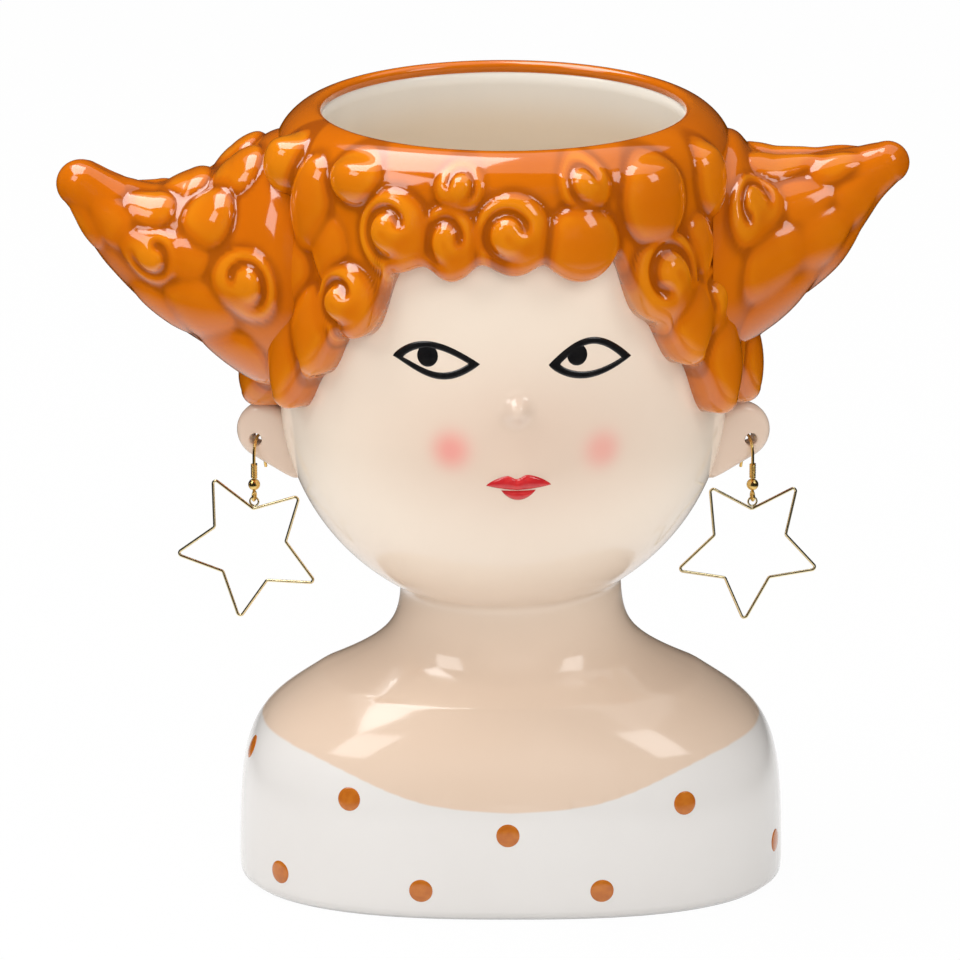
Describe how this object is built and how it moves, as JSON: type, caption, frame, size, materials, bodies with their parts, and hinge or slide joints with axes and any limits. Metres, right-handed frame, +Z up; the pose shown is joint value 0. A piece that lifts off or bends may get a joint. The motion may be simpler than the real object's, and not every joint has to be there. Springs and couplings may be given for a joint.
{
  "type": "head planter",
  "caption": "Glazed ceramic planter shaped as a doll-like head on a bust, open at the crown for a plant, with curled hair, horn-like side buns and wire star earrings hung from its pierced ears.",
  "frame": {"origin": "middle of the flat foot, on the surface that it stands on", "axes": "+Z up, -Y the way the face looks, +X to the viewer's right"},
  "size_m": [0.2214, 0.1342, 0.205],
  "materials": {
    "skin_glaze": "gloss glaze",
    "hair_glaze": "gloss glaze",
    "earring_gold": "polished, gold tone",
    "star_gold": "polished, pale gold tone"
  },
  "bodies": {
    "pot": {"head_and_bust": "skin_glaze", "hair_cap": "hair_glaze", "left_bun": "hair_glaze", "right_bun": "hair_glaze", "left_ear": "skin_glaze", "right_ear": "skin_glaze"},
    "left_earring": {"left_ear_wire": "earring_gold", "left_coil": "earring_gold", "left_bead": "earring_gold"},
    "left_pendant": {"left_star": "star_gold", "left_star_eyelet": "star_gold"},
    "right_earring": {"right_ear_wire": "earring_gold", "right_coil": "earring_gold", "right_bead": "earring_gold"},
    "right_pendant": {"right_star": "star_gold", "right_star_eyelet": "star_gold"}
  },
  "joints": [
    {"name": "left_ear_wire_sway", "type": "hinge", "parent": "pot", "child": "left_earring", "pos_m": [-0.0655, 0, 0.1162], "axis": [0.2588, 0.9659, 0], "range_deg": [-2, 60]},
    {"name": "left_star_swing", "type": "hinge", "parent": "left_earring", "child": "left_pendant", "pos_m": [-0.06669, -0.00444, 0.10138], "axis": [0.9659, -0.2588, 0], "range_deg": [-60, 40]},
    {"name": "right_ear_wire_sway", "type": "hinge", "parent": "pot", "child": "right_earring", "pos_m": [0.0615, 0, 0.1162], "axis": [0.2588, -0.9659, 0], "range_deg": [-1, 60]},
    {"name": "right_star_swing", "type": "hinge", "parent": "right_earring", "child": "right_pendant", "pos_m": [0.06269, -0.00444, 0.10138], "axis": [0.9659, 0.2588, 0], "range_deg": [-60, 25]}
  ]
}
